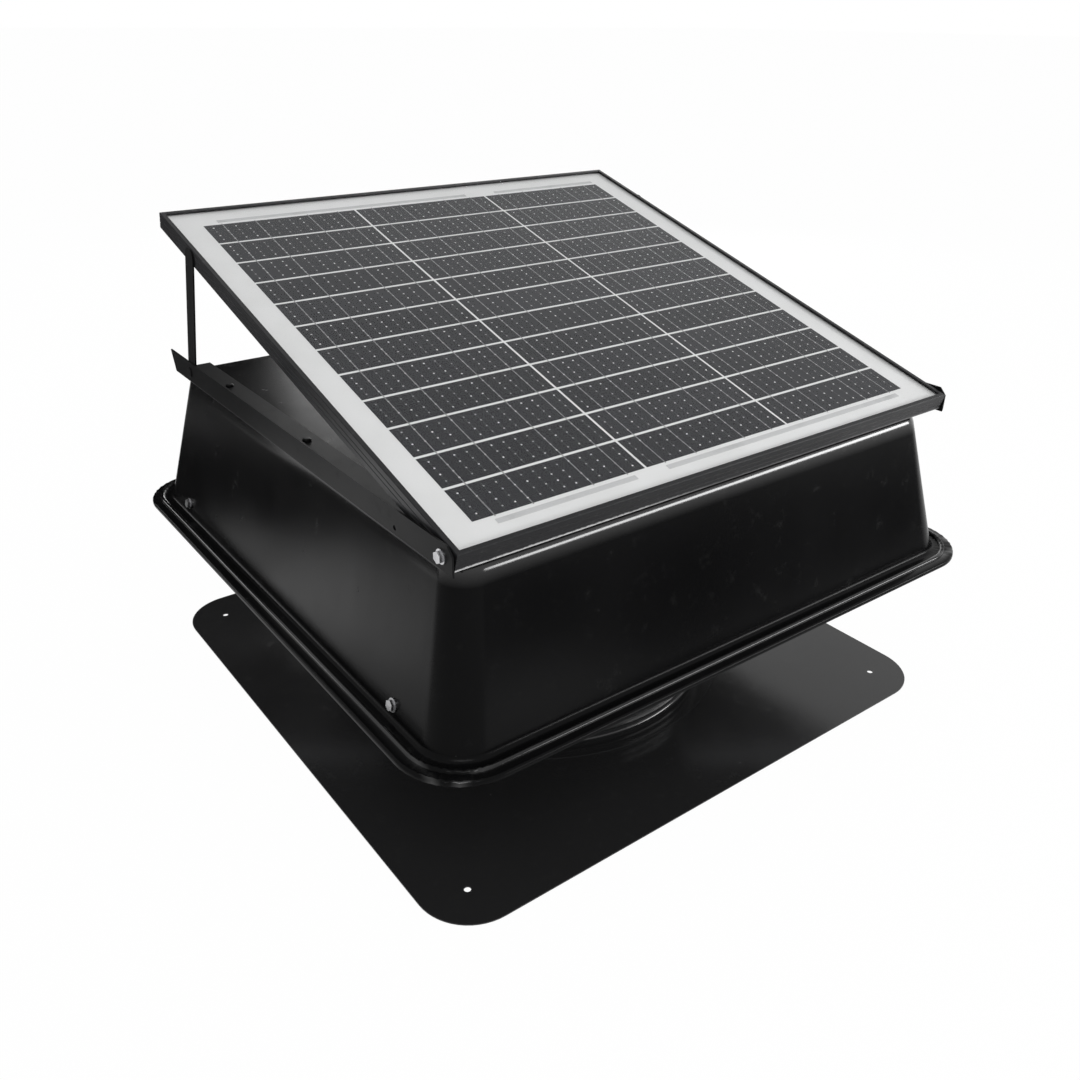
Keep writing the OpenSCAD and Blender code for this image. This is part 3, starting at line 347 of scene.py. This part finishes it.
def arcPoints(centre, radius, fromAngle, toAngle, steps):
    span = toAngle - fromAngle
    turns = [math.radians(fromAngle + span * i / steps) for i in range(steps + 1)]
    return [(centre[0] + radius * math.cos(t), centre[1] + radius * math.sin(t)) for t in turns]


def beside(path, distance):
    # the path moved to its right
    moved = []
    for i, point in enumerate(path):
        before = Vector(path[max(i - 1, 0)])
        after = Vector(path[min(i + 1, len(path) - 1)])
        along = (after - before).normalized()
        moved.append((point[0] + along.y * distance, point[1] - along.x * distance))
    return moved


def unitShare(value):
    return max(0, min(1, value))


# hood: a pressed cover with a ridge and a hem round its rim

hood = {
    "rimZ": 161 * mm, "wallWidth": 589.4 * mm, "lean": 13.5, "sheet": 1.2 * mm,
    "shoulder": 14 * mm, "foot": 5 * mm, "ridgeWidth": 611 * mm, "ridge": 2.6 * mm,
    "hem": 2.4 * mm, "skirt": 1.6 * mm,
    "corner": 70 * mm, "cornerIn": -8 * mm, "cornerOut": 12 * mm,
    "cornerSteps": 28, "sideSteps": 30, "wallSteps": 14, "shoulderSteps": 8, "footSteps": 6,
    "landSteps": 4, "ridgeSteps": 8, "hemSteps": 5,
}
# the sheet out of true: waves on the walls, wrinkles in the rim's corners
dents = {
    "wallWave": 0.5 * mm, "waveGrain": (9, 9, 3.5), "fineGrain": (34, 34, 7), "fineShare": 0.3,
    "waveIn": 0.4, "wallTop": 30 * mm, "wallFoot": 20 * mm,
    "wrinkle": 0.7 * mm, "wrinkles": 11, "wander": 4, "cornerPower": 0.7, "wrinkleLeast": 0.6,
    "rimIn": 8 * mm, "rimBelow": 2 * mm, "hemShare": 0.5,
}
# where the thick film lies: on the shoulder and on the rim's ridge
film = {"shoulderMid": 0.5, "shoulderReach": 0.8, "shoulderIn": 45 * mm, "ridgeReach": 1.6,
        "ridgeTop": 9 * mm}


def hoodProfile():
    # half a section through a wall, from the top down to the hem, out from the corner's axis
    low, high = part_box("hood_shell")
    half, top, rim = high.x, high.z, hood["rimZ"]
    axis = half - hood["corner"]
    lean = math.radians(hood["lean"])

    def wall(z):
        return hood["wallWidth"] / 2 - (z - rim) * math.tan(lean) - axis

    r = hood["shoulder"]
    shoulder = (wall(top - r) - r / math.cos(lean), top - r)
    q = hood["foot"]
    foot = (wall(rim + q) + q / math.cos(lean), rim + q)
    start = arcPoints(shoulder, r, 90, hood["lean"], hood["shoulderSteps"])
    end = arcPoints(foot, q, 180 + hood["lean"], 270, hood["footSteps"])
    steps = hood["wallSteps"]
    wallPoints = [(start[-1][0] + (end[0][0] - start[-1][0]) * i / steps,
                   start[-1][1] + (end[0][1] - start[-1][1]) * i / steps)
                  for i in range(1, steps)]
    ridge = (hood["ridgeWidth"] / 2 - axis, rim)
    hem = (half - hood["hem"] - axis, rim - hood["hem"])
    steps = hood["landSteps"]
    land = [(end[-1][0] + (ridge[0] - hood["ridge"] - end[-1][0]) * i / steps, rim)
            for i in range(1, steps)]
    path = ([(hood["cornerIn"], top)] + start + wallPoints + end + land
            + arcPoints(ridge, hood["ridge"], 180, 0, hood["ridgeSteps"])
            + arcPoints(hem, hood["hem"], 90, 0, hood["hemSteps"])
            + [(hem[0] + hood["hem"], hem[1] - hood["skirt"])])
    return axis, path


def cornerSigns(k):
    k %= 4
    return (1 if k in (0, 3) else -1), (1 if k in (0, 1) else -1)


def rimStations():
    # (point as a share of the corner's axis, direction out,
    #  share of the way round a corner, or None on a side)
    stations = []
    for k in range(4):
        cx, cy = cornerSigns(k)
        for i in range(hood["cornerSteps"] + 1):
            t = math.radians(90 * (k + i / hood["cornerSteps"]))
            stations.append(((cx, cy), (math.cos(t), math.sin(t)), i / hood["cornerSteps"]))
        nx, ny = cornerSigns(k + 1)
        t = math.radians(90 * (k + 1))
        out = (round(math.cos(t)), round(math.sin(t)))
        for i in range(1, hood["sideSteps"]):
            s = i / hood["sideSteps"]
            stations.append(((cx + (nx - cx) * s, cy + (ny - cy) * s), out, None))
    return stations


def hoodWave(point, onWall, onRim, share):
    # how far the sheet stands out of true, outwards and upwards
    broad = noise.noise(Vector([p * g for p, g in zip(point, dents["waveGrain"])]))
    fine = noise.noise(Vector([p * g for p, g in zip(point, dents["fineGrain"])]))
    out = dents["wallWave"] * onWall * (broad + dents["fineShare"] * fine)
    up = 0
    if share is not None:
        inCorner = math.sin(math.pi * share) ** dents["cornerPower"]
        pinch = math.sin(2 * math.pi * dents["wrinkles"] * share + dents["wander"] * fine)
        up = dents["wrinkle"] * onRim * inCorner * pinch * (dents["wrinkleLeast"] + broad)
    return out, up


def cornerShift(z, top):
    # the corners are rounder at the top and sharper at the rim
    down = unitShare((top - z) / (top - hood["rimZ"]))
    return hood["cornerIn"] + (hood["cornerOut"] - hood["cornerIn"]) * down


def roundedShare(point, top):
    # 1 on the shoulder and on the rim's ridge, falling to 0 beside them
    out = max(abs(point.x), abs(point.y))
    shoulder = ridge = 0
    if out > hood["wallWidth"] / 2 - film["shoulderIn"]:
        off = abs(point.z - (top - hood["shoulder"] * film["shoulderMid"]))
        shoulder = max(0, 1 - off / (hood["shoulder"] * film["shoulderReach"]))
    if point.z < hood["rimZ"] + film["ridgeTop"]:
        off = abs(out - hood["ridgeWidth"] / 2)
        ridge = max(0, 1 - off / (hood["ridge"] * film["ridgeReach"]))
    return max(shoulder, ridge)


def makeHood():
    axis, outer = hoodProfile()
    inner = beside(outer, hood["sheet"])
    inner[0] = (cornerShift(inner[0][1], outer[0][1]), inner[0][1])
    loop = outer + inner[::-1]
    stations = rimStations()
    top = max(z for u, z in outer)
    rim = hood["rimZ"]
    wallOut = hood["wallWidth"] / 2 - axis
    vertices, faces = [], []
    for (fx, fy), (dx, dy), share in stations:
        for u, z in loop:
            shift = cornerShift(z, top)
            bx, by = fx * (axis + shift), fy * (axis + shift)
            u -= shift
            onWall = unitShare((top - z) / dents["wallTop"])
            onWall *= unitShare((z - rim) / dents["wallFoot"])
            onRim = unitShare((u + shift - wallOut) / dents["rimIn"])
            onRim *= 1 if z > rim - dents["rimBelow"] else dents["hemShare"]
            out, up = hoodWave((bx + dx * u, by + dy * u, z), onWall, onRim, share)
            inwards = dents["wallWave"] * onWall * dents["waveIn"]
            vertices.append((bx + dx * (u + out - inwards), by + dy * (u + out), z + up))
    n, m = len(stations), len(loop)
    for i in range(n):
        for j in range(m - 1):
            a, b = i * m + j, ((i + 1) % n) * m + j
            faces.append((a, b, b + 1, a + 1))
    # the flat top, outside and inside
    k = hood["sideSteps"]
    for z in (outer[0][1], inner[0][1]):
        flat = axis + cornerShift(z, top)
        start = len(vertices)
        for i in range(k + 1):
            for j in range(k + 1):
                vertices.append((flat * (2 * i / k - 1), flat * (2 * j / k - 1), z))
        for i in range(k):
            for j in range(k):
                a, b = start + i * (k + 1) + j, start + (i + 1) * (k + 1) + j
                faces.append((a, b, b + 1, a + 1))
    made = makePiece("pressedHood", vertices, faces, [materials["painted_sheet"]], "base")
    rounded = made.data.attributes.new("rounded", "FLOAT", "POINT")
    rounded.data.foreach_set("value", [roundedShare(v.co, top) for v in made.data.vertices])
    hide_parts("hood_shell")


makeHood()
print("hood made")


# solar cells, seen through the glass

cells = {
    "width": 158 * mm, "length": 37 * mm, "columnGap": 2.33 * mm, "rowGap": 2.68 * mm,
    "columns": 3, "rows": 12, "margin": 28.4 * mm, "sink": 0.06 * mm, "seed": 7,
    "busbars": 14, "busbarPitch": 0.0698, "busbarWidth": 0.3 * mm, "busbarEnd": 1 * mm,
    "ribbons": (1, 4, 9, 12), "ribbonWidth": 0.95 * mm,
    "padRows": (0.17, 0.39, 0.61, 0.83), "padWidth": 1.4 * mm, "padLength": 1.3 * mm,
}
cellsWidth = cells["columns"] * cells["width"] + (cells["columns"] - 1) * cells["columnGap"]
silicon = {
    "dark": (0.012, 0.0125, 0.015), "light": (0.018, 0.0185, 0.022), "gloss": 0.1,
    "grainScale": 420, "grain": 0.4, "grainSpan": (0.45, 0.75),
    "grainColour": (0.035, 0.036, 0.04), "roughness": 0.45, "grainRoughness": 0.2,
}
solder = {"dull": (0.22, 0.22, 0.225), "bright": (0.85, 0.85, 0.86), "scale": 210,
          "span": (0.4, 0.65), "roughness": 0.45}


def cellFinish():
    # dark silicon with a slight grain, each cell its own shade
    f, look = Finish("darkSilicon"), silicon
    where = f.place(turn=-slope)
    shade = f.node("Attribute", {"attribute_name": "shade"}, out="Fac")
    grain = f.clouds(where, look["grainScale"], 5, 0.75)
    colour = f.blend(shade, rgb(*look["dark"]), rgb(*look["light"]))
    colour = f.blend(f.fade(grain, 0, look["grain"], *look["grainSpan"]), colour,
                     rgb(*look["grainColour"]))
    rough = look["roughness"] + (grain - 0.5) * look["grainRoughness"]
    return f.surface(Base_Color=colour, Roughness=rough, Specular_IOR_Level=look["gloss"])


def padFinish():
    # dull and bright solder in patches
    f, look = Finish("solderPad"), solder
    shine = f.node("TexNoise", None, {"Vector": f.place(), "Scale": look["scale"], "Detail": 1})
    colour = f.blend(f.fade(shine, 0, 1, *look["span"]), rgb(*look["dull"]),
                     rgb(*look["bright"]))
    return f.surface(Base_Color=colour, Roughness=look["roughness"])


siliconFinish = cellFinish()
busbarFinish = bareMetal("busbarPaste", dict(
    steel, colour=(0.05, 0.051, 0.054), roughness=0.5, metallic=0.2))
cellRibbon = bareMetal("cellRibbon", dict(
    steel, colour=(0.2, 0.202, 0.206), roughness=0.5, stretch=(1, 0.2, 1), grainScale=160,
    metallic=0))
cellSurfaces = [siliconFinish, busbarFinish, padFinish(), cellRibbon]
wafer, busbar, pad, ribbon = range(len(cellSurfaces))


class Slab:
    # gathers thin boxes laid on the panel into one mesh
    def __init__(self):
        self.vertices, self.faces, self.surface, self.shades = [], [], [], []

    def add(self, x0, x1, y0, y1, z0, z1, surface, shade=0.5):
        start = len(self.vertices)
        for z in (z0, z1):
            for x, y in ((x0, y0), (x1, y0), (x1, y1), (x0, y1)):
                self.vertices.append(panelAt @ Vector((x, y, z)))
        for face in ((3, 2, 1, 0), (4, 5, 6, 7), (0, 1, 5, 4), (1, 2, 6, 5), (2, 3, 7, 6),
                     (3, 0, 4, 7)):
            self.faces.append(tuple(start + k for k in face))
            self.surface.append(surface)
            self.shades.append(shade)

    def make(self, name, surfaces, slot):
        made = makePiece(name, self.vertices, self.faces, surfaces, "panel",
                         self.surface, weld=False)
        shades = made.data.attributes.new("shade", "FLOAT", "FACE")
        shades.data.foreach_set("value", self.shades)
        return made


def makeString(column, name):
    chance = random.Random(cells["seed"] + column)
    c, slab = cells, Slab()
    left = -cellsWidth / 2 + column * (c["width"] + c["columnGap"])
    low, top = panel["cellLow"], panel["cellTop"] - c["sink"]
    face = top - c["sink"]

    def across(bar):
        return left + c["width"] * (0.5 + (bar - (c["busbars"] - 1) / 2) * c["busbarPitch"])

    for row in range(c["rows"]):
        front = c["margin"] + row * (c["length"] + c["rowGap"])
        slab.add(left, left + c["width"], front, front + c["length"], low, face, wafer,
                 chance.random())
        for bar in range(c["busbars"]):
            at = across(bar)
            if bar not in c["ribbons"]:
                half = c["busbarWidth"] / 2
                slab.add(at - half, at + half, front + c["busbarEnd"],
                         front + c["length"] - c["busbarEnd"], face, top - c["sink"] / 2,
                         busbar)
            for share in c["padRows"]:
                y = front + share * c["length"]
                slab.add(at - c["padWidth"] / 2, at + c["padWidth"] / 2,
                         y - c["padLength"] / 2, y + c["padLength"] / 2, face, top, pad)
        for bar in c["ribbons"]:
            at = across(bar)
            slab.add(at - c["ribbonWidth"] / 2, at + c["ribbonWidth"] / 2,
                     front - c["rowGap"] * 0.5, front + c["length"] + c["rowGap"] * 0.5,
                     face, top, ribbon)
    made = slab.make(name, cellSurfaces, "solar_cell")
    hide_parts("cell_string_" + ("left", "middle", "right")[column])


for column, name in enumerate(("cellsLeft", "cellsMiddle", "cellsRight")):
    makeString(column, name)
print("cells made")


# cover glass

pane = {"colour": (0.9, 0.92, 0.93), "roughness": 0.05, "rippleScale": 650,
        "rippleDepth": 0.000004, "slantPower": 5, "slantMirror": 0.16, "plainMirror": 0.009}


def glassFinish():
    # a mirror that is nearly clear: what lies under it shows, and it mirrors more at a slant
    f = Finish("clearPane")
    slant = f.node("LayerWeight", None, {"Blend": 0.5}, out="Facing")
    ripple = f.clouds(f.place(), pane["rippleScale"], 2)
    normal = f.bump(ripple, pane["rippleDepth"])
    mirror = slant ** pane["slantPower"] * pane["slantMirror"] + pane["plainMirror"]
    return f.surface(Base_Color=rgb(*pane["colour"]), Metallic=1.0,
                     Roughness=pane["roughness"], Normal=normal, Alpha=mirror)


nodes["glass_pane"].data.materials.clear()
nodes["glass_pane"].data.materials.append(glassFinish())


# wire cloth inside the windows of the screen

cloth = {"radius": 178.6 * mm, "low": 194 * mm, "high": 284 * mm, "wireRadius": 0.45 * mm,
         "pitch": 9 * mm, "sides": 5}


def makeCloth():
    vertices, faces = [], []
    r, sides, thick = cloth["radius"], cloth["sides"], cloth["wireRadius"]
    around = int(2 * math.pi * r / cloth["pitch"])
    levels = int((cloth["high"] - cloth["low"]) / cloth["pitch"])
    turns = [2 * math.pi * i / around for i in range(around)]
    ring = [2 * math.pi * k / sides for k in range(sides)]
    for t in turns:  # upright wires, closed at both ends
        start = len(vertices)
        for z in (cloth["low"], cloth["high"]):
            for a in ring:
                out = r + thick * math.cos(a)
                side = thick * math.sin(a)
                vertices.append((out * math.cos(t) - side * math.sin(t),
                                 out * math.sin(t) + side * math.cos(t), z))
        for k in range(sides):
            a, b = start + k, start + (k + 1) % sides
            faces.append((a, b, b + sides, a + sides))
        end = tuple(start + k for k in range(sides))
        faces += [end[::-1], tuple(k + sides for k in end)]
    for level in range(levels + 1):  # level wires, just inside the upright ones
        z = cloth["low"] + (cloth["high"] - cloth["low"]) * level / levels
        start = len(vertices)
        for t in turns:
            for a in ring:
                out = r - 2 * thick + thick * math.cos(a)
                vertices.append((out * math.cos(t), out * math.sin(t),
                                 z + thick * math.sin(a)))
        for i in range(around):
            a, b = start + i * sides, start + ((i + 1) % around) * sides
            for k in range(sides):
                following = (k + 1) % sides
                faces.append((a + k, a + following, b + following, b + k))
    makePiece("wireCloth", vertices, faces, [materials["zinc_steel"]], "base")


makeCloth()
print("wire cloth made")


# studio

camera = {
    "at": (-0.5735, -0.7693, 0.6327), "azimuth": -36.978, "elevation": 27.594, "roll": 0.592,
    "lens": 33.695, "sensor": 36, "near": 0.01, "far": 50,
}


def makeCamera():
    a, e, r = (math.radians(camera[k]) for k in ("azimuth", "elevation", "roll"))
    back = Vector((math.sin(a) * math.cos(e), -math.cos(a) * math.cos(e), math.sin(e)))
    level = Vector((math.cos(a), math.sin(a), 0))
    upright = back.cross(level)
    right = math.cos(r) * level + math.sin(r) * upright
    up = -math.sin(r) * level + math.cos(r) * upright
    turn = Matrix((right, up, back)).transposed().to_4x4()
    data = bpy.data.cameras.new("camera")
    data.lens, data.sensor_width = camera["lens"], camera["sensor"]
    data.clip_start, data.clip_end = camera["near"], camera["far"]
    made = bpy.data.objects.new("camera", data)
    made.matrix_world = Matrix.Translation(camera["at"]) @ turn
    bpy.context.scene.collection.objects.link(made)
    bpy.context.scene.camera = made


makeCamera()

studio = {
    "white": 1.0, "sky": 0.55, "floor": 0.86, "floorShare": 0.98, "floorSize": 40,
    "floorDrop": 0.3 * mm, "flagColour": 0.02,
    "flags": (
        ((-1.1, 1.5, 0.02), (0.35, 1.5, 0.02), (0.35, 1.5, 1.25), (-1.1, 1.5, 1.25)),
        ((-1.6, 0.72, 0.004), (-0.3, 0.72, 0.004), (-0.3, 1.45, 0.004), (-1.6, 1.45, 0.004)),
        ((0.3, -2.4, 0.004), (2.4, -2.4, 0.004), (2.4, -0.6, 0.004), (0.3, -0.85, 0.004)),
    ),
}
lamps = [
    # name, place, aimed at, width, height, watts
    ("keyLight", (-1.2, -1.6, 2.3), (0, 0, 0.3), 1.3, 1.0, 20),
    ("backLight", (1.45, 1.9, 0.72), (0, 0, 0.1), 1.7, 0.7, 17),
    ("frontStrip", (1.15, -1.55, 0.62), (0, -0.28, 0.25), 1.3, 0.3, 20),
    ("leftStrip", (-1.0, 1.35, 0.62), (-0.2, 0, 0.2), 0.8, 0.2, 3),
    ("leftLow", (-0.68, 0.27, 0.01), (-0.6, 0.2, 0.6), 0.45, 0.5, 0.8),
    ("frontLow", (0.1, -0.85, 0.01), (0.1, -0.7, 0.6), 0.4, 0.35, 0.35),
]


def makeFlags():
    # dark cards out of the picture, which keep parts of the paint black
    vertices, faces = [], []
    for corners in studio["flags"]:
        faces.append(tuple(range(len(vertices), len(vertices) + len(corners))))
        vertices += corners
    mesh = bpy.data.meshes.new("darkFlags")
    mesh.from_pydata(vertices, [], faces)
    flags = bpy.data.objects.new("darkFlags", mesh)
    flags.visible_camera = flags.visible_transmission = flags.visible_shadow = False
    flags.visible_diffuse = False
    bpy.context.scene.collection.objects.link(flags)
    f = Finish("darkCard")
    mesh.materials.append(f.surface(Base_Color=rgb(studio["flagColour"]), Roughness=1.0,
                                    Specular_IOR_Level=0.0))


def showsWhite(f):
    # 1 for rays from the camera, off gloss or through glass, which see a plain white studio
    ray = f.node("LightPath", out="Is Camera Ray")
    for kind in ("Is Glossy Ray", "Is Transmission Ray"):
        ray = ray.sum("MAXIMUM", ray, f.node("LightPath", out=kind))
    return ray


def makeFloor():
    size = studio["floorSize"]
    corners = [(-size, -size, 0), (size, -size, 0), (size, size, 0), (-size, size, 0)]
    mesh = bpy.data.meshes.new("floor")
    mesh.from_pydata(corners, [], [(0, 1, 2, 3)])
    floor = bpy.data.objects.new("floor", mesh)
    floor.location.z = -studio["floorDrop"]
    bpy.context.scene.collection.objects.link(floor)
    f = Finish("paleFloor")
    ray = showsWhite(f)
    lit = f.node("BsdfDiffuse", None, {"Color": rgb(studio["floor"])})
    shown = f.node("Emission", None, {"Color": rgb(1), "Strength": studio["white"]})
    # the lit share that is left keeps the object's shadow
    mixed = f.node("MixShader", None, {0: ray * studio["floorShare"], 1: lit, 2: shown})
    f.node("OutputMaterial", None, {"Surface": mixed})
    mesh.materials.append(f.material)


def makeLamps():
    for name, at, aim, width, height, watts in lamps:
        data = bpy.data.lights.new(name, "AREA")
        data.shape, data.size, data.size_y, data.energy = "RECTANGLE", width, height, watts
        made = bpy.data.objects.new(name, data)
        made.location = at
        made.visible_camera = False
        made.rotation_euler = (Vector(aim) - Vector(at)).to_track_quat("-Z", "Y").to_euler()
        bpy.context.scene.collection.objects.link(made)


def makeWorld():
    world = bpy.data.worlds.new("studio")
    world.use_nodes = True
    bpy.context.scene.world = world
    f = Finish("studio", world.node_tree)
    ray = showsWhite(f)
    sky = f.node("Background", None, {"Color": rgb(1), "Strength": studio["sky"]})
    shown = f.node("Background", None, {"Color": rgb(1), "Strength": studio["white"]})
    mixed = f.node("MixShader", None, {0: ray, 1: sky, 2: shown})
    f.node("OutputWorld", None, {"Surface": mixed})


makeFlags()
makeFloor()
makeLamps()
makeWorld()
bpy.context.scene.view_settings.view_transform = "Standard"
print("studio made")
